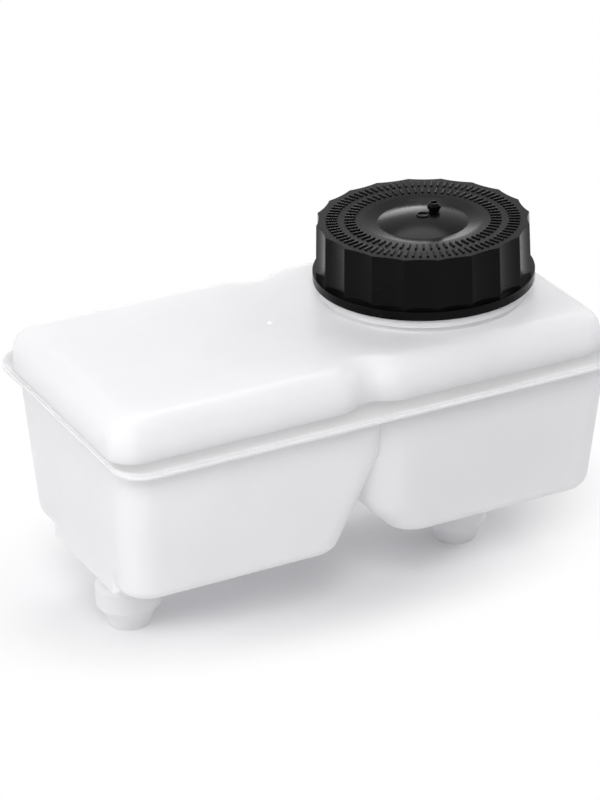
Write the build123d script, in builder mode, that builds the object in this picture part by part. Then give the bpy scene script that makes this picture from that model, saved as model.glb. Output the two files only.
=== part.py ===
from build123d import *
import os
from math import cos, radians, sqrt, tan

# Brake fluid reservoir for a tandem master cylinder, in millimetres.
# The tank is moulded in two halves, welded along a flat flange. A rounded box with a waist stands
# on the flange, and two tapered wells hang from it with a V-shaped gap between them. A partition
# divides the tank at the waist, with a way through in its middle. Each well ends in an outlet
# spigot, whose bead is pushed into a grommet of the cylinder.
# The neck on the upper half takes a fluted screw cap with a sealing ring. The screw threads are
# left off: the neck and the cap's bore are plain at the roots of their threads.
# Z = 0 is the plane of the spigots' ends, X = 0 the middle of the flange, Y = 0 the plane of
# symmetry, and the neck is towards +X.

# Tank
wall = 2.0
waist_x = 2.0  # middle of the partition, where the wells meet

# Weld flange
flange_length = 138.6
flange_width = 80.4
flange_corner = 8.2
half_flange_thickness = 0.75
upper_flange_setback = 0.4  # the upper half's flange is this much smaller all round

# Upper half
dome_width = 68.6  # over the walls, at the flange
end_corner = 7.0  # upright corners at the ends
left_dome_x = -68.4  # outside of the left end, at the flange
right_dome_x = 64.0
notch_x = -1.8  # middle of the waist's shallow notches, in the front and the back
notch_depth = 4.2  # to where its slanted sides would meet
notch_slope = 34.0  # degrees, of its slanted sides
notch_shoulder = 11.0  # radius at both sides of a notch
notch_hollow = 4.5  # radius in its middle
dome_height = 10.75  # above the weld plane
dome_draft = 3.0  # degrees
dome_fillet = 5.5
upper_passage_width = 26.0  # of the way through the partition, in the upper half

# Lower half
well_width = 68.0
well_corner = 8.0
well_overlap = 2.0  # of each well past the waist's middle
left_well_x = -67.15  # outside of the left end, at the flange
right_well_x = 66.6
left_end_draft = 2.9  # degrees
right_end_draft = 5.7
side_draft = 5.2
gap_wall_draft = 2.0  # of the walls over the gap
well_depth = 38.75  # below the weld plane
well_fillet = 4.0  # round the wells' bottoms
left_slope_height = 21.5  # where the gap's left slope meets the waist, above the wells' bottoms
right_slope_height = 6.4
left_gap_slope = 26.0  # degrees from upright
right_gap_slope = 43.5
gap_bend_radius = 8.0  # where a gap wall turns upright
passage_width = 46.0  # of the way between the wells, over the gap

# Locating lug, which squares off the left well's bottom edge
lug_y = -3.5
lug_width = 35.0
lug_depth = 6.0
lug_proud = 0.6

# Outlet spigots
spigot_length = 20.8
left_spigot_x = -53.1
right_spigot_x = 38.7
spigot_bore_radius = 3.8
shank_radius = 7.0
bead_radius = 8.1
bead_height = 5.7  # from the spigot's end to the bead's cylindrical land
bead_land = 4.8
bead_shoulder = 1.0  # from the land up to the shank
nose_radius = 6.3
nose_height = 3.4
nose_end_radius = 5.3

# Filler neck
neck_x = 30.5
neck_bore_radius = 20.5
neck_radius = 23.0  # at the root of its thread
collar_radius = 26.3
collar_height = 2.2
groove_radius = 25.0  # of the neck between the collar and the tank's top
groove_height = 1.7
neck_height = 11.8  # above the collar
neck_edge = 0.5

# Cap
flute_count = 20
flute_phase = 15.6  # degrees, from +X to the first ridge, with the cap closed
flute_depth = 0.75  # below the ridges
cap_lip_radius = 27.5
cap_lip_height = 2.2
cap_top_radius = 26.4  # over the ridges
cap_foot_radius = 26.8
cap_skirt_height = 13.0  # from the lip to the top
cap_bore_radius = 24.5  # at the root of its thread
cap_clearance = 0.3  # between the collar and the cap's lip
dish_rim_radius = 15.3  # the top slopes down from here
dish_radius = 11.2  # and swells up again from here
dish_depth = 0.7
crown_height = 1.0  # of the middle above the top's flat ring
gate_ring_radius = 1.7
gate_ring_height = 0.25
gate_ring_width = 0.5
nipple_x = 3.9  # from the cap's axis
nipple_y = 1.4
nipple_radius = 1.7
nipple_foot_radius = 1.3
nipple_top_radius = 1.2
nipple_height = 2.0
nipple_pocket_radius = 0.9
nipple_pocket_depth = 0.8
vent_radius = 0.5

# Sealing ring
seal_thickness = 1.5
seal_radius = 23.6
seal_bore_radius = 19.5
seal_clearance = 0.05

# Heights and places that follow
parting_z = spigot_length + well_depth
well_bottom_z = spigot_length
tank_top_z = parting_z + dome_height
left_slope_z = well_bottom_z + left_slope_height
right_slope_z = well_bottom_z + right_slope_height
passage_z = left_slope_z + 2 * wall
collar_z = tank_top_z + groove_height
neck_foot_z = collar_z + collar_height
neck_top_z = neck_foot_z + neck_height
cap_lip_z = neck_foot_z + cap_clearance
cap_ledge_z = cap_lip_z + cap_lip_height
cap_top_z = cap_ledge_z + cap_skirt_height
crown_z = cap_top_z + crown_height
cap_ceiling_z = neck_top_z + seal_thickness + 2 * seal_clearance

os.makedirs("parts", exist_ok=True)


def dome_outline(z, inwards):
    # Plan of the upper half at the height z, inwards of the outside at the flange: a rectangle with
    # rounded corners and a shallow notch in each long side.
    slope = radians(notch_slope)
    half_width = dome_width / 2 - inwards
    notch = notch_depth + inwards * (1 / cos(slope) - 1)
    half_notch = notch / tan(slope)
    left = left_dome_x + inwards
    right = right_dome_x - inwards
    with BuildSketch(Plane.XY.offset(z)) as outline:
        with BuildLine():
            Polyline(
                (left, -half_width),
                (notch_x - half_notch, -half_width),
                (notch_x, notch - half_width),
                (notch_x + half_notch, -half_width),
                (right, -half_width),
                (right, half_width),
                (notch_x + half_notch, half_width),
                (notch_x, half_width - notch),
                (notch_x - half_notch, half_width),
                (left, half_width),
                close=True,
            )
        make_face()
        fillet(outline.vertices().group_by(Axis.X)[0], end_corner - inwards)
        fillet(outline.vertices().group_by(Axis.X)[-1], end_corner - inwards)
        hollows = outline.vertices().filter_by(lambda corner: abs(corner.X - notch_x) < 0.01)
        fillet(hollows, notch_hollow + inwards)
        shoulders = outline.vertices().filter_by(
            lambda corner: abs(abs(corner.X - notch_x) - half_notch) < 0.01
        )
        fillet(shoulders, notch_shoulder - inwards)
    return outline.sketch


def dome(inset):
    # The upper half's rounded box. inset is 0 for the outside and the wall's thickness for the inside.
    height = dome_height - inset
    with BuildPart() as box:
        add(dome_outline(parting_z, inset))
        add(dome_outline(parting_z + height, inset + height * tan(radians(dome_draft))))
        loft(ruled=True)
        fillet(box.faces().sort_by(Axis.Z)[-1].edges(), dome_fillet - inset)
    return box.part


def well(end_x, end_draft, inward, slope_z, gap_slope, inset):
    # One well, hanging from the weld plane. inward is +1 where the gap is towards +X of the well and
    # -1 where it is towards -X. inset is 0 for the outside and the wall's thickness for the inside.
    top = parting_z
    bottom = well_bottom_z + inset
    end_top = end_x + inward * inset
    end_bottom = end_top + inward * (top - bottom) * tan(radians(end_draft))
    gap_top = waist_x + inward * (well_overlap - inset)
    gap_drop_rate = tan(radians(gap_wall_draft))
    slope_rate = tan(radians(gap_slope))
    # The slanted wall crosses the waist at slope_z, and is moved inwards by the inset.
    slope_start = waist_x - inward * inset * sqrt(1 + slope_rate**2)
    slope_run = inward * (slope_start - gap_top) + (top - slope_z) * slope_rate
    bend_drop = slope_run / (slope_rate - gap_drop_rate)
    gap_bend = gap_top - inward * bend_drop * gap_drop_rate
    gap_bottom = slope_start - inward * (slope_z - bottom) * slope_rate
    with BuildPart() as block:
        with BuildSketch(Plane.XZ):
            with BuildLine():
                Polyline(
                    (end_top, top),
                    (end_bottom, bottom),
                    (gap_bottom, bottom),
                    (gap_bend, top - bend_drop),
                    (gap_top, top),
                    close=True,
                )
            make_face()
        extrude(amount=well_width / 2 - inset, both=True)
        draft(block.faces().filter_by(Axis.Y), Plane.XY.offset(top), -side_draft)
        bend = block.edges().filter_by(Axis.Y).group_by(Axis.Z)[1]
        fillet(bend, gap_bend_radius)
        upright = block.edges().filter_by(lambda edge: edge.center().Z > bottom + 1)
        upright = upright.filter_by(lambda edge: edge.center().Z < top - 1)
        upright = upright.filter_by(lambda edge: abs(edge.center().Y) > well_width / 4)
        fillet(upright, well_corner - inset)
        fillet(block.faces().sort_by(Axis.Z)[0].edges(), well_fillet - inset)
    return block.part


def spigot_profile():
    # Half of a spigot's section, from its end up into the well's bottom wall.
    shoulder_z = bead_height + bead_land
    Polyline(
        (0, 0),
        (nose_end_radius, 0),
        (nose_radius, nose_height),
        (bead_radius, bead_height),
        (bead_radius, shoulder_z),
        (shank_radius, shoulder_z + bead_shoulder),
        (shank_radius, well_bottom_z + wall / 2),
        (0, well_bottom_z + wall / 2),
        close=True,
    )


# Partition at the waist of the upper half, open in its middle
with BuildPart() as partition:
    add(dome(wall / 2))
    with BuildSketch(Plane.XY.offset(parting_z)):
        with Locations((waist_x, 0)):
            Rectangle(wall, dome_width)
            Rectangle(wall, upper_passage_width, mode=Mode.SUBTRACT)
    extrude(amount=dome_height, mode=Mode.INTERSECT)

# Upper half of the tank
with BuildPart() as upper_shell:
    add(dome(0))
    with BuildSketch(Plane.XY.offset(parting_z)):
        RectangleRounded(
            flange_length - 2 * upper_flange_setback,
            flange_width - 2 * upper_flange_setback,
            flange_corner - upper_flange_setback,
        )
    extrude(amount=half_flange_thickness)
    with BuildSketch(Plane.XZ):
        with BuildLine():
            Polyline(
                (neck_x, tank_top_z - wall / 2),
                (neck_x + groove_radius, tank_top_z - wall / 2),
                (neck_x + groove_radius, collar_z),
                (neck_x + collar_radius, collar_z),
                (neck_x + collar_radius, neck_foot_z),
                (neck_x + neck_radius, neck_foot_z),
                (neck_x + neck_radius, neck_top_z),
                (neck_x, neck_top_z),
                close=True,
            )
        make_face()
    revolve(axis=Axis((neck_x, 0, 0), (0, 0, 1)))
    fillet(upper_shell.edges().filter_by(GeomType.CIRCLE).group_by(Axis.Z)[-1], neck_edge)
    add(dome(wall), mode=Mode.SUBTRACT)
    add(partition.part)
    with BuildSketch(Plane.XY.offset(neck_top_z)):
        with Locations((neck_x, 0)):
            Circle(neck_bore_radius)
    extrude(amount=-(neck_top_z - parting_z), mode=Mode.SUBTRACT)
upper_shell.part.label = "upper_shell"

# Lower half of the tank
left_well = well(left_well_x, left_end_draft, 1, left_slope_z, left_gap_slope, 0)
right_well = well(right_well_x, right_end_draft, -1, right_slope_z, right_gap_slope, 0)
left_well_inside = well(left_well_x, left_end_draft, 1, left_slope_z, left_gap_slope, wall)
right_well_inside = well(right_well_x, right_end_draft, -1, right_slope_z, right_gap_slope, wall)

with BuildPart() as lower_shell:
    add(left_well)
    add(right_well)
    with BuildSketch(Plane.XY.offset(parting_z)):
        RectangleRounded(flange_length, flange_width, flange_corner)
    extrude(amount=-half_flange_thickness)
    end_rate = tan(radians(left_end_draft))
    lug_end_x = left_well_x + well_depth * end_rate - lug_proud
    lug_top_x = left_well_x + (well_depth - lug_depth) * end_rate
    with BuildSketch(Plane.XZ.offset(-lug_y)):
        with BuildLine():
            Polyline(
                (lug_end_x, well_bottom_z),
                (lug_end_x + lug_depth, well_bottom_z),
                (lug_end_x + lug_depth, well_bottom_z + lug_depth),
                (lug_top_x, well_bottom_z + lug_depth),
                close=True,
            )
        make_face()
    extrude(amount=lug_width / 2, both=True)
    for spigot_x in (left_spigot_x, right_spigot_x):
        with BuildSketch(Plane((spigot_x, 0, 0), x_dir=(1, 0, 0), z_dir=(0, -1, 0))):
            with BuildLine():
                spigot_profile()
            make_face()
        revolve(axis=Axis((spigot_x, 0, 0), (0, 0, 1)))
    add(left_well_inside, mode=Mode.SUBTRACT)
    add(right_well_inside, mode=Mode.SUBTRACT)
    with BuildSketch(Plane.XY):
        with Locations((left_spigot_x, 0), (right_spigot_x, 0)):
            Circle(spigot_bore_radius)
    extrude(amount=well_bottom_z + 2 * wall, mode=Mode.SUBTRACT)
    # Passage between the wells, over the gap
    with BuildSketch(Plane.XZ):
        with Locations((waist_x, (parting_z + passage_z) / 2)):
            Rectangle(2 * well_corner, parting_z - passage_z)
    extrude(amount=passage_width / 2, both=True, mode=Mode.SUBTRACT)
lower_shell.part.label = "lower_shell"

# Cap
def skirt_outline(ridge_radius):
    # Shallow flutes that meet in sharp ridges.
    pitch = 360 / flute_count
    ridge = Vector(ridge_radius, 0, 0)
    hollow = Vector(ridge_radius - flute_depth, 0, 0)
    for index in range(flute_count):
        angle = flute_phase + index * pitch
        ThreePointArc(
            ridge.rotate(Axis.Z, angle),
            hollow.rotate(Axis.Z, angle + pitch / 2),
            ridge.rotate(Axis.Z, angle + pitch),
        )


with BuildPart() as filler_cap:
    for ridge_radius, ridge_z in ((cap_foot_radius, cap_ledge_z), (cap_top_radius, cap_top_z)):
        with BuildSketch(Plane((neck_x, 0, ridge_z))):
            with BuildLine():
                skirt_outline(ridge_radius)
            make_face()
    loft(ruled=True)
    with BuildSketch(Plane((neck_x, 0, cap_lip_z))):
        Circle(cap_lip_radius)
    extrude(amount=cap_lip_height)
    # The shallow dish in the top, and the crown that swells up inside it
    with BuildSketch(Plane.XZ):
        with BuildLine():
            Polyline(
                (neck_x, cap_top_z + 1),
                (neck_x + dish_rim_radius, cap_top_z + 1),
                (neck_x + dish_rim_radius, cap_top_z),
                (neck_x + dish_radius, cap_top_z - dish_depth),
                (neck_x, cap_top_z - dish_depth),
                close=True,
            )
        make_face()
    revolve(axis=Axis((neck_x, 0, 0), (0, 0, 1)), mode=Mode.SUBTRACT)
    crown_rise = crown_height + dish_depth
    with BuildSketch(Plane.XZ):
        with BuildLine():
            RadiusArc(
                (neck_x, crown_z),
                (neck_x + dish_radius, cap_top_z - dish_depth),
                (dish_radius**2 + crown_rise**2) / (2 * crown_rise),
            )
            Polyline(
                (neck_x + dish_radius, cap_top_z - dish_depth),
                (neck_x + dish_radius, cap_top_z - 2 * dish_depth),
                (neck_x, cap_top_z - 2 * dish_depth),
                (neck_x, crown_z),
            )
        make_face()
    revolve(axis=Axis((neck_x, 0, 0), (0, 0, 1)))
    with BuildSketch(Plane((neck_x, 0, cap_lip_z))):
        Circle(cap_bore_radius)
    extrude(amount=cap_ceiling_z - cap_lip_z, mode=Mode.SUBTRACT)
    # Gate mark and vent nipple on the crown
    with BuildSketch(Plane((neck_x, 0, crown_z - gate_ring_height))):
        Circle(gate_ring_radius)
        Circle(gate_ring_radius - gate_ring_width, mode=Mode.SUBTRACT)
    extrude(amount=2 * gate_ring_height)
    with BuildSketch(Plane((neck_x + nipple_x, nipple_y, crown_z), x_dir=(1, 0, 0), z_dir=(0, -1, 0))):
        with BuildLine():
            Polyline(
                (0, -dish_depth),
                (nipple_foot_radius, -dish_depth),
                (nipple_foot_radius, 0),
                (nipple_radius, nipple_height / 3),
                (nipple_radius, nipple_height * 2 / 3),
                (nipple_top_radius, nipple_height),
                (0, nipple_height),
                close=True,
            )
        make_face()
    revolve(axis=Axis((neck_x + nipple_x, nipple_y, 0), (0, 0, 1)))
    with Locations((neck_x + nipple_x, nipple_y, crown_z + nipple_height)):
        CounterBoreHole(vent_radius, nipple_pocket_radius, nipple_pocket_depth)
filler_cap.part.label = "filler_cap"

# Sealing ring, between the neck's rim and the cap's ceiling
with BuildPart() as cap_seal:
    with BuildSketch(Plane.XY.offset(neck_top_z + seal_clearance)):
        with Locations((neck_x, 0)):
            Circle(seal_radius)
            Circle(seal_bore_radius, mode=Mode.SUBTRACT)
    extrude(amount=seal_thickness)
cap_seal.part.label = "cap_seal"

export_step(upper_shell.part, "parts/upper_shell.step")
export_step(lower_shell.part, "parts/lower_shell.step")
export_step(filler_cap.part, "parts/filler_cap.step")
export_step(cap_seal.part, "parts/cap_seal.step")
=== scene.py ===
from math import pi, radians

import bpy
from mathutils import Matrix, Vector


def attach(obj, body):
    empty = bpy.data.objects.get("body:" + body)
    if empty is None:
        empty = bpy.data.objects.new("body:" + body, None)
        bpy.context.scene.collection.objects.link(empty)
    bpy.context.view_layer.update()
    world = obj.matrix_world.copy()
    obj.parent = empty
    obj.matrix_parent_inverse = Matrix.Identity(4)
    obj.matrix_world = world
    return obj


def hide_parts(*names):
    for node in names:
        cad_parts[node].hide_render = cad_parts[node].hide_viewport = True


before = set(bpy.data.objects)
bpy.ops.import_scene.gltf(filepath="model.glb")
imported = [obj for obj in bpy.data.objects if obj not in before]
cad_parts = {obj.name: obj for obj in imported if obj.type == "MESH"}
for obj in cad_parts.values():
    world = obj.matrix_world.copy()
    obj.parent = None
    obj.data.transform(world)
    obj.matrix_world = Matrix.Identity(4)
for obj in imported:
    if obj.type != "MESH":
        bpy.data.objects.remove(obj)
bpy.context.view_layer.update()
print("frame loaded")

millimetre = 0.001
neckX = 30.5  # mm, the axis of the neck and the cap
tankTopZ = 70.3  # mm, the flat of the tank's top
capTopZ = 89.7  # mm, the flat ring of the cap's top


# Small helpers

def hexColor(code):
    # an sRGB hex value as linear RGBA
    channels = [int(code[i:i + 2], 16) / 255 for i in (1, 3, 5)]
    linear = [c / 12.92 if c <= 0.04045 else ((c + 0.055) / 1.055) ** 2.4 for c in channels]
    return (*linear, 1.0)


def perMetre(size):
    # how many features of this size, in mm, lie along a metre
    return 1 / (size * millimetre)


def addNode(tree, kind, settings={}, sockets={}, links={}):
    node = tree.nodes.new(kind)
    for name, value in settings.items():
        setattr(node, name, value)
    for name, value in sockets.items():
        node.inputs[name].default_value = value
    for name, source in links.items():
        tree.links.new(source, node.inputs[name])
    return node


def newMaterial(name):
    material = bpy.data.materials.new(name)
    material.use_nodes = True
    material.node_tree.nodes.clear()
    return material, material.node_tree


def deselectAll():
    if bpy.context.object and bpy.context.object.mode != "OBJECT":
        bpy.ops.object.mode_set(mode="OBJECT")
    bpy.ops.object.select_all(action="DESELECT")


def pick(piece):
    deselectAll()
    bpy.context.view_layer.objects.active = piece
    piece.select_set(True)


def settle(piece):
    # the place goes into the mesh, and the object stays at the origin
    pick(piece)
    bpy.ops.object.transform_apply(location=True, rotation=True, scale=True)


def bake(piece):
    pick(piece)
    for modifier in list(piece.modifiers):
        bpy.ops.object.modifier_apply(modifier=modifier.name)


def dress(piece, material, body):
    piece.data.materials.clear()
    piece.data.materials.append(material)
    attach(piece, body)


# Moulded natural polypropylene: milky, lets some light into the wall, satin from the mould

tankPlastic = {
    "clear": "#FAFAFB",
    "cloudy": "#F5F4F5",
    "cloudSize": 14,  # mm
    "lightThrough": 0.35,  # share of the light that goes on through a face of the wall
    "roughness": (0.3, 0.42),
    "refraction": 1.49,
    "bumpStrength": 0.5,
    "grainSize": 0.5,  # mm, drawn coarser than the mould's own texture so that it shows
    "grainHeight": 0.012,  # mm
    "waveSize": 9,  # mm, of the slow sink marks in the wall
    "waveHeight": 0.05,  # mm
    "edgeRadius": 0.15,  # mm
}


def makeTankPlastic():
    material, tree = newMaterial("naturalPolypropyleneMoulded")
    place = addNode(tree, "ShaderNodeTexCoord").outputs["Object"]
    clouds = addNode(
        tree, "ShaderNodeTexNoise",
        sockets={"Scale": perMetre(tankPlastic["cloudSize"]), "Detail": 3.0, "Roughness": 0.55},
        links={"Vector": place},
    )
    tint = addNode(
        tree, "ShaderNodeMix", settings={"data_type": "RGBA"},
        sockets={6: hexColor(tankPlastic["clear"]), 7: hexColor(tankPlastic["cloudy"])},
        links={0: clouds.outputs["Fac"]},
    )
    waves = addNode(
        tree, "ShaderNodeTexNoise",
        sockets={"Scale": perMetre(tankPlastic["waveSize"]), "Detail": 1.0},
        links={"Vector": place},
    )
    grain = addNode(
        tree, "ShaderNodeTexNoise",
        sockets={"Scale": perMetre(tankPlastic["grainSize"]), "Detail": 2.0},
        links={"Vector": place},
    )
    softEdge = addNode(
        tree, "ShaderNodeBevel", settings={"samples": 6},
        sockets={"Radius": tankPlastic["edgeRadius"] * millimetre},
    )
    slowBump = addNode(
        tree, "ShaderNodeBump",
        sockets={
            "Strength": tankPlastic["bumpStrength"],
            "Distance": tankPlastic["waveHeight"] * millimetre,
        },
        links={"Height": waves.outputs["Fac"], "Normal": softEdge.outputs["Normal"]},
    )
    fineBump = addNode(
        tree, "ShaderNodeBump",
        sockets={
            "Strength": tankPlastic["bumpStrength"],
            "Distance": tankPlastic["grainHeight"] * millimetre,
        },
        links={"Height": grain.outputs["Fac"], "Normal": slowBump.outputs["Normal"]},
    )
    sheen = addNode(
        tree, "ShaderNodeMapRange",
        sockets={"To Min": tankPlastic["roughness"][0], "To Max": tankPlastic["roughness"][1]},
        links={"Value": clouds.outputs["Fac"]},
    )
    shader = addNode(
        tree, "ShaderNodeBsdfPrincipled",
        sockets={"IOR": tankPlastic["refraction"]},
        links={
            "Base Color": tint.outputs[2],
            "Roughness": sheen.outputs["Result"],
            "Normal": fineBump.outputs["Normal"],
        },
    )
    glowThrough = addNode(tree, "ShaderNodeBsdfTranslucent", links={"Color": tint.outputs[2]})
    # light that is inside the wall goes on out of it, and is lost to no further bounces
    side = addNode(tree, "ShaderNodeNewGeometry")
    through = addNode(
        tree, "ShaderNodeMath", settings={"operation": "MAXIMUM"},
        sockets={1: tankPlastic["lightThrough"]},
        links={0: side.outputs["Backfacing"]},
    )
    milky = addNode(
        tree, "ShaderNodeMixShader",
        links={0: through.outputs[0], 1: shader.outputs["BSDF"], 2: glowThrough.outputs["BSDF"]},
    )
    addNode(tree, "ShaderNodeOutputMaterial", links={"Surface": milky.outputs["Shader"]})
    return material


# Moulded black polypropylene: nearly black inside, satin skin with a faint bloom of dust

capPlastic = {
    "black": "#030304",
    "bloom": "#08080A",
    "bloomSize": 6,  # mm
    "roughness": (0.15, 0.27),
    "refraction": 1.49,
    "gloss": 0.085,  # specular level, which keeps the black deep
    "bumpStrength": 0.6,
    "grainSize": 0.4,  # mm
    "grainHeight": 0.012,  # mm
    "edgeRadius": 0.25,  # mm
}


def makeCapPlastic():
    material, tree = newMaterial("blackPolypropyleneMoulded")
    place = addNode(tree, "ShaderNodeTexCoord").outputs["Object"]
    bloom = addNode(
        tree, "ShaderNodeTexNoise",
        sockets={"Scale": perMetre(capPlastic["bloomSize"]), "Detail": 5.0, "Roughness": 0.6},
        links={"Vector": place},
    )
    tint = addNode(
        tree, "ShaderNodeMix", settings={"data_type": "RGBA"},
        sockets={6: hexColor(capPlastic["black"]), 7: hexColor(capPlastic["bloom"])},
        links={0: bloom.outputs["Fac"]},
    )
    grain = addNode(
        tree, "ShaderNodeTexNoise",
        sockets={"Scale": perMetre(capPlastic["grainSize"]), "Detail": 2.0},
        links={"Vector": place},
    )
    softEdge = addNode(
        tree, "ShaderNodeBevel", settings={"samples": 6},
        sockets={"Radius": capPlastic["edgeRadius"] * millimetre},
    )
    fineBump = addNode(
        tree, "ShaderNodeBump",
        sockets={
            "Strength": capPlastic["bumpStrength"],
            "Distance": capPlastic["grainHeight"] * millimetre,
        },
        links={"Height": grain.outputs["Fac"], "Normal": softEdge.outputs["Normal"]},
    )
    sheen = addNode(
        tree, "ShaderNodeMapRange",
        sockets={"To Min": capPlastic["roughness"][0], "To Max": capPlastic["roughness"][1]},
        links={"Value": bloom.outputs["Fac"]},
    )
    shader = addNode(
        tree, "ShaderNodeBsdfPrincipled",
        sockets={"IOR": capPlastic["refraction"], "Specular IOR Level": capPlastic["gloss"]},
        links={
            "Base Color": tint.outputs[2],
            "Roughness": sheen.outputs["Result"],
            "Normal": fineBump.outputs["Normal"],
        },
    )
    addNode(tree, "ShaderNodeOutputMaterial", links={"Surface": shader.outputs["BSDF"]})
    return material


# EPDM rubber: matt black with a dull, slightly mottled skin

sealRubber = {
    "black": "#0D0D0D",
    "chalk": "#1B1B1A",
    "chalkSize": 2.5,  # mm
    "roughness": 0.72,
    "refraction": 1.5,
}


def makeSealRubber():
    material, tree = newMaterial("rubberMoulded")
    place = addNode(tree, "ShaderNodeTexCoord").outputs["Object"]
    chalk = addNode(
        tree, "ShaderNodeTexNoise",
        sockets={"Scale": perMetre(sealRubber["chalkSize"]), "Detail": 4.0},
        links={"Vector": place},
    )
    tint = addNode(
        tree, "ShaderNodeMix", settings={"data_type": "RGBA"},
        sockets={6: hexColor(sealRubber["black"]), 7: hexColor(sealRubber["chalk"])},
        links={0: chalk.outputs["Fac"]},
    )
    shader = addNode(
        tree, "ShaderNodeBsdfPrincipled",
        sockets={"IOR": sealRubber["refraction"], "Roughness": sealRubber["roughness"]},
        links={"Base Color": tint.outputs[2]},
    )
    addNode(tree, "ShaderNodeOutputMaterial", links={"Surface": shader.outputs["BSDF"]})
    return material


tankMaterial = makeTankPlastic()
capMaterial = makeCapPlastic()
sealMaterial = makeSealRubber()
print("materials made")


# The shells, the cap and the ring keep their CAD shape: a merged copy takes smooth shading

mergeWithin = 0.002  # mm


def smoothCopy(nodeName, pieceName, angle):
    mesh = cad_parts[nodeName].data.copy()
    piece = bpy.data.objects.new(pieceName, mesh)
    bpy.context.scene.collection.objects.link(piece)
    pick(piece)
    bpy.ops.object.mode_set(mode="EDIT")
    bpy.ops.mesh.select_all(action="SELECT")
    bpy.ops.mesh.remove_doubles(threshold=mergeWithin * millimetre)
    bpy.ops.object.mode_set(mode="OBJECT")
    bpy.ops.mesh.customdata_custom_splitnormals_clear()
    bpy.ops.object.shade_smooth_by_angle(angle=radians(angle))
    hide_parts(nodeName)
    return piece


upperHalf = smoothCopy("upper_shell", "tankUpperHalf", 28)
dress(upperHalf, tankMaterial, "tank")
lowerHalf = smoothCopy("lower_shell", "tankLowerHalf", 28)
dress(lowerHalf, tankMaterial, "tank")
capBody = smoothCopy("filler_cap", "capBody", 24)
dress(capBody, capMaterial, "cap")
sealRing = smoothCopy("cap_seal", "sealRing", 30)
dress(sealRing, sealMaterial, "seal")
print("shells, cap and ring dressed")


# Screw threads of the neck and the cap: one profile wound up with a 4 mm pitch

neckThread = {"root": 22.9, "crest": 24.1, "foot": 2.1, "land": 1.0, "start": 76.2, "turns": 2.1}
capThread = {"root": 24.6, "crest": 23.4, "foot": 2.1, "land": 1.0, "start": 76.3, "turns": 2.2}
threadPitch = 4.0  # mm
threadSteps = 72  # in a turn
threadRunOut = 35  # degrees, over which both ends sink into the wall
threadMerge = 0.01  # mm


def makeThread(sizes, pieceName, startAngle):
    # the profile is a trapezium that stands in the XZ plane
    bpy.ops.mesh.primitive_plane_add(size=1, location=(0, 0, 0))
    thread = bpy.context.object
    thread.name = pieceName
    pick(thread)
    root, crest = sizes["root"] * millimetre, sizes["crest"] * millimetre
    foot, land = sizes["foot"] * millimetre / 2, sizes["land"] * millimetre / 2
    corners = [(root, -foot), (crest, -land), (crest, land), (root, foot)]
    places = [vertex.co for vertex in thread.data.vertices]
    order = sorted(range(4), key=lambda i: (places[i].y, places[i].x))
    ring = [order[0], order[1], order[3], order[2]]
    for index, (x, z) in zip(ring, corners):
        thread.data.vertices[index].co = (x, 0, z)
    screw = thread.modifiers.new("wind", "SCREW")
    screw.angle = 2 * pi * sizes["turns"]
    screw.screw_offset = threadPitch * millimetre * sizes["turns"]
    screw.steps = int(threadSteps * sizes["turns"])
    screw.render_steps = screw.steps
    screw.use_merge_vertices = True
    bake(thread)
    # both ends run out into the wall
    total = 2 * pi * sizes["turns"]
    rise = threadPitch * millimetre / (2 * pi)
    fade = radians(threadRunOut)
    for vertex in thread.data.vertices:
        x, y, z = vertex.co
        radius = (x * x + y * y) ** 0.5
        angle = Vector((x, y)).angle_signed(Vector((1, 0)))
        turned = angle + 2 * pi * round((z / rise - angle) / (2 * pi))
        share = min(1.0, max(0.0, min(turned, total - turned) / fade))
        target = root + (radius - root) * share
        vertex.co = (x * target / radius, y * target / radius, z)
    pick(thread)
    bpy.ops.object.mode_set(mode="EDIT")
    bpy.ops.mesh.select_all(action="SELECT")
    bpy.ops.mesh.remove_doubles(threshold=threadMerge * millimetre)
    bpy.ops.mesh.normals_make_consistent(inside=False)
    bpy.ops.object.mode_set(mode="OBJECT")
    thread.rotation_euler = (0, 0, startAngle)
    thread.location = (neckX * millimetre, 0, sizes["start"] * millimetre)
    settle(thread)
    bpy.ops.object.shade_smooth_by_angle(angle=radians(30))
    return thread


neckRidge = makeThread(neckThread, "neckThread", 0.0)
dress(neckRidge, tankMaterial, "tank")
capRidge = makeThread(capThread, "capThread", radians(180))
dress(capRidge, capMaterial, "cap")
print("threads wound")


# Raised marks on the cap's top: two plain rings of short radial ribs

capRibs = {
    "rings": ((21.0, 23.9, 84), (16.6, 19.3, 64)),  # inner and outer radius in mm, count
    "width": 0.6,
    "height": 0.28,
    "edge": 0.09,
}


def makeRibRing(inner, outer, count, pieceName):
    middle = (inner + outer) / 2
    bpy.ops.mesh.primitive_cube_add(size=1, location=(0, 0, 0))
    rib = bpy.context.object
    rib.scale = Vector((outer - inner, capRibs["width"], 2 * capRibs["height"])) * millimetre
    rib.location = (middle * millimetre, 0, 0)
    settle(rib)
    bevel = rib.modifiers.new("round", "BEVEL")
    bevel.width = capRibs["edge"] * millimetre
    bevel.segments = 1
    bake(rib)
    pick(rib)
    bpy.ops.object.mode_set(mode="EDIT")
    bpy.ops.mesh.select_all(action="SELECT")
    for index in range(1, count):
        bpy.ops.mesh.duplicate()
        bpy.ops.transform.rotate(value=2 * pi / count, orient_axis="Z", center_override=(0, 0, 0))
    bpy.ops.object.mode_set(mode="OBJECT")
    rib.name = pieceName
    rib.location = (neckX * millimetre, 0, capTopZ * millimetre)
    settle(rib)
    return rib


for ringIndex, (inner, outer, count) in enumerate(capRibs["rings"]):
    ribRing = makeRibRing(inner, outer, count, "capRibRing" + str(ringIndex + 1))
    dress(ribRing, capMaterial, "cap")
print("cap ribs made")


# A small gate pip on the left block's top

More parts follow.
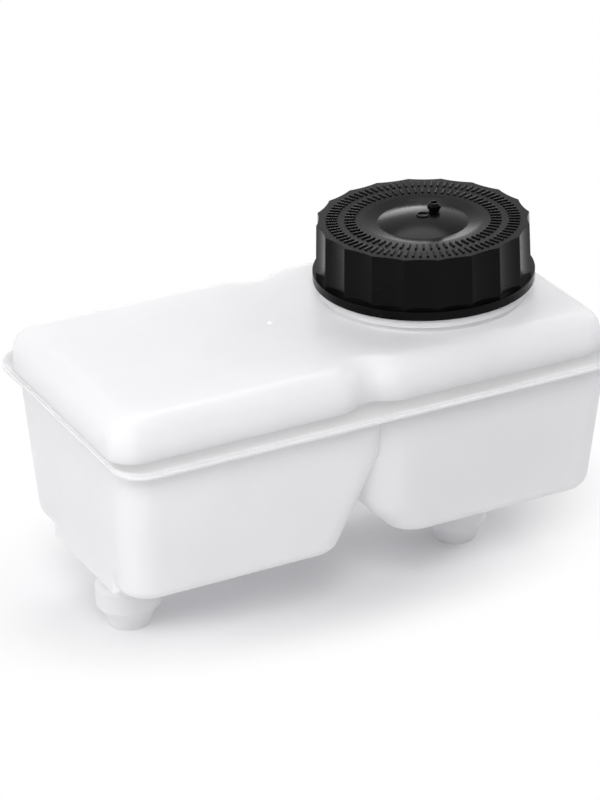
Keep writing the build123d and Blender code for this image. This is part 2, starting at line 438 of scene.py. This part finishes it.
gatePip = {"place": (-11.0, 1.8), "radius": 0.9, "height": 0.25}  # mm


def makeGatePip():
    bpy.ops.mesh.primitive_uv_sphere_add(segments=24, ring_count=12, radius=1, location=(0, 0, 0))
    pip = bpy.context.object
    pip.name = "gatePip"
    x, y = gatePip["place"]
    pip.scale = Vector((gatePip["radius"], gatePip["radius"], gatePip["height"])) * millimetre
    pip.location = (x * millimetre, y * millimetre, tankTopZ * millimetre)
    settle(pip)
    pick(pip)
    bpy.ops.object.shade_smooth()
    return pip


pip = makeGatePip()
dress(pip, tankMaterial, "tank")
print("gate pip made")


# Floor, backdrop and light

studio = {
    # painted shade: this grey paper is seen only in the painted shadow patch near the object
    "floorColor": "#E4E4E6",
    "floorLift": 0.02,
    "paintedShadowScale": (0.63, 1.1, 1.0),  # painted shadow: the grey patch around the object is longer than it is deep
    "paintedShadowShift": (0.0, -0.017, 0.0),  # metres, and the painted shadow patch lies towards the back
    "paintedShadowReach": 0.03,  # metres, on the scaled floor, out to which the painted shadow patch stays fully grey
    "whiteFrom": 0.065,
    "floorSize": 6,  # metres
    "front": (-0.43, -0.9, 0.0),  # from the object towards the camera
    "skyBack": 0.75,
    "skyFront": 0.15,
    "skyBlend": (-0.7, 0.4),
}


def seenStraight(tree):
    # 1 for rays that show the backdrop itself, 0 for rays that only carry its light
    path = addNode(tree, "ShaderNodeLightPath")
    seen = addNode(
        tree, "ShaderNodeMath", settings={"operation": "MAXIMUM"},
        links={0: path.outputs["Is Camera Ray"], 1: path.outputs["Is Transmission Ray"]},
    )
    seen = addNode(
        tree, "ShaderNodeMath", settings={"operation": "MAXIMUM"},
        links={0: seen.outputs[0], 1: path.outputs["Is Glossy Ray"]},
    )
    return seen.outputs[0]


def makeFloor():
    bpy.ops.mesh.primitive_plane_add(size=studio["floorSize"], location=(0, 0, 0))
    floor = bpy.context.object
    floor.name = "studioFloor"
    material, tree = newMaterial("paperSweep")
    paper = addNode(tree, "ShaderNodeBsdfDiffuse", sockets={"Color": hexColor(studio["floorColor"])})
    # painted shadow: the paper stays grey in a patch around the object, where the object's real
    # shadow also shows, and turns to plain white away from it
    place = addNode(
        tree, "ShaderNodeMapping",
        sockets={"Scale": studio["paintedShadowScale"], "Location": studio["paintedShadowShift"]},
        links={"Vector": addNode(tree, "ShaderNodeTexCoord").outputs["Object"]},
    )
    away = addNode(
        tree, "ShaderNodeVectorMath", settings={"operation": "LENGTH"},
        links={0: place.outputs["Vector"]},
    )
    fade = addNode(
        tree, "ShaderNodeMapRange", settings={"interpolation_type": "SMOOTHSTEP"},
        sockets={
            "From Min": studio["paintedShadowReach"], "From Max": studio["whiteFrom"],
            "To Min": studio["floorLift"], "To Max": 1.0,
        },
        links={"Value": away.outputs["Value"]},
    )
    whiteness = addNode(
        tree, "ShaderNodeMath", settings={"operation": "MULTIPLY"},
        links={0: seenStraight(tree), 1: fade.outputs["Result"]},
    )
    white = addNode(tree, "ShaderNodeEmission", sockets={"Strength": 1.0})
    both = addNode(
        tree, "ShaderNodeMixShader",
        links={0: whiteness.outputs[0], 1: paper.outputs["BSDF"], 2: white.outputs["Emission"]},
    )
    addNode(tree, "ShaderNodeOutputMaterial", links={"Surface": both.outputs["Shader"]})
    floor.data.materials.append(material)


def makeSky():
    world = bpy.data.worlds.new("studioSky")
    bpy.context.scene.world = world
    world.use_nodes = True
    tree = world.node_tree
    tree.nodes.clear()
    # white towards the back, and a dimmer room in front of the object
    direction = addNode(tree, "ShaderNodeTexCoord").outputs["Generated"]
    towardsFront = addNode(
        tree, "ShaderNodeVectorMath", settings={"operation": "DOT_PRODUCT"},
        sockets={1: studio["front"]},
        links={0: direction},
    )
    room = addNode(
        tree, "ShaderNodeMapRange", settings={"interpolation_type": "SMOOTHSTEP"},
        sockets={
            "From Min": studio["skyBlend"][0], "From Max": studio["skyBlend"][1],
            "To Min": studio["skyBack"], "To Max": studio["skyFront"],
        },
        links={"Value": towardsFront.outputs["Value"]},
    )
    seen = addNode(
        tree, "ShaderNodeMix", settings={"data_type": "FLOAT"},
        sockets={3: 1.0},
        links={0: seenStraight(tree), 2: room.outputs["Result"]},
    )
    sky = addNode(tree, "ShaderNodeBackground", links={"Strength": seen.outputs[0]})
    addNode(tree, "ShaderNodeOutputWorld", links={"Surface": sky.outputs["Background"]})


aimHeight = 0.05  # metres above the floor, where all lamps point
lamps = {
    "leftSoftbox": {"place": (-1.1, 0.0, 0.6), "size": 0.9, "watts": 5.4, "mirrored": True},
    "rightSoftbox": {"place": (1.05, 0.1, 0.6), "size": 0.7, "watts": 2.8, "mirrored": True},
    "topSoftbox": {"place": (0.28, 0.55, 1.05), "size": 0.6, "watts": 3.3, "mirrored": True},
    "frontSoftbox": {"place": (-0.5, -1.0, 1.0), "size": 0.7, "watts": 12.5, "mirrored": False},
    "backSoftbox": {"place": (0.45, 1.1, 0.22), "size": 0.4, "watts": 0.8, "mirrored": True},
}


def makeLamp(name, sizes):
    data = bpy.data.lights.new(name, "AREA")
    data.shape = "DISK"
    data.size = sizes["size"]
    data.energy = sizes["watts"]
    lamp = bpy.data.objects.new(name, data)
    bpy.context.scene.collection.objects.link(lamp)
    lamp.location = sizes["place"]
    lamp.visible_glossy = sizes["mirrored"]
    aim = Vector((0, 0, aimHeight)) - Vector(sizes["place"])
    lamp.rotation_euler = aim.to_track_quat("-Z", "Y").to_euler()


makeFloor()
makeSky()
for lampName, lampSizes in lamps.items():
    makeLamp(lampName, lampSizes)
bpy.context.scene.view_settings.view_transform = "Standard"
print("studio made")


# Camera, at the photograph's viewing angle

viewpoint = {
    "place": (-346.61, -699.27, 420.74),  # mm
    "azimuth": -26.069,  # degrees, to the left of the front
    "elevation": 25.545,
    "roll": -1.649,
    "lens": 157.5,  # mm, on a sensor 36 mm wide
    "sensor": 36,
    "near": 0.05,  # metres
    "far": 20,
}


def makeCamera():
    data = bpy.data.cameras.new("photoCamera")
    data.sensor_width = viewpoint["sensor"]
    data.lens = viewpoint["lens"]
    data.clip_start = viewpoint["near"]
    data.clip_end = viewpoint["far"]
    camera = bpy.data.objects.new("photoCamera", data)
    bpy.context.scene.collection.objects.link(camera)
    turn = Matrix.Rotation(radians(viewpoint["azimuth"]), 4, "Z")
    tilt = Matrix.Rotation(radians(90 - viewpoint["elevation"]), 4, "X")
    roll = Matrix.Rotation(radians(viewpoint["roll"]), 4, "Z")
    place = Matrix.Translation(Vector(viewpoint["place"]) * millimetre)
    camera.matrix_world = place @ turn @ tilt @ roll
    bpy.context.scene.camera = camera


makeCamera()
print("camera set")

deselectAll()
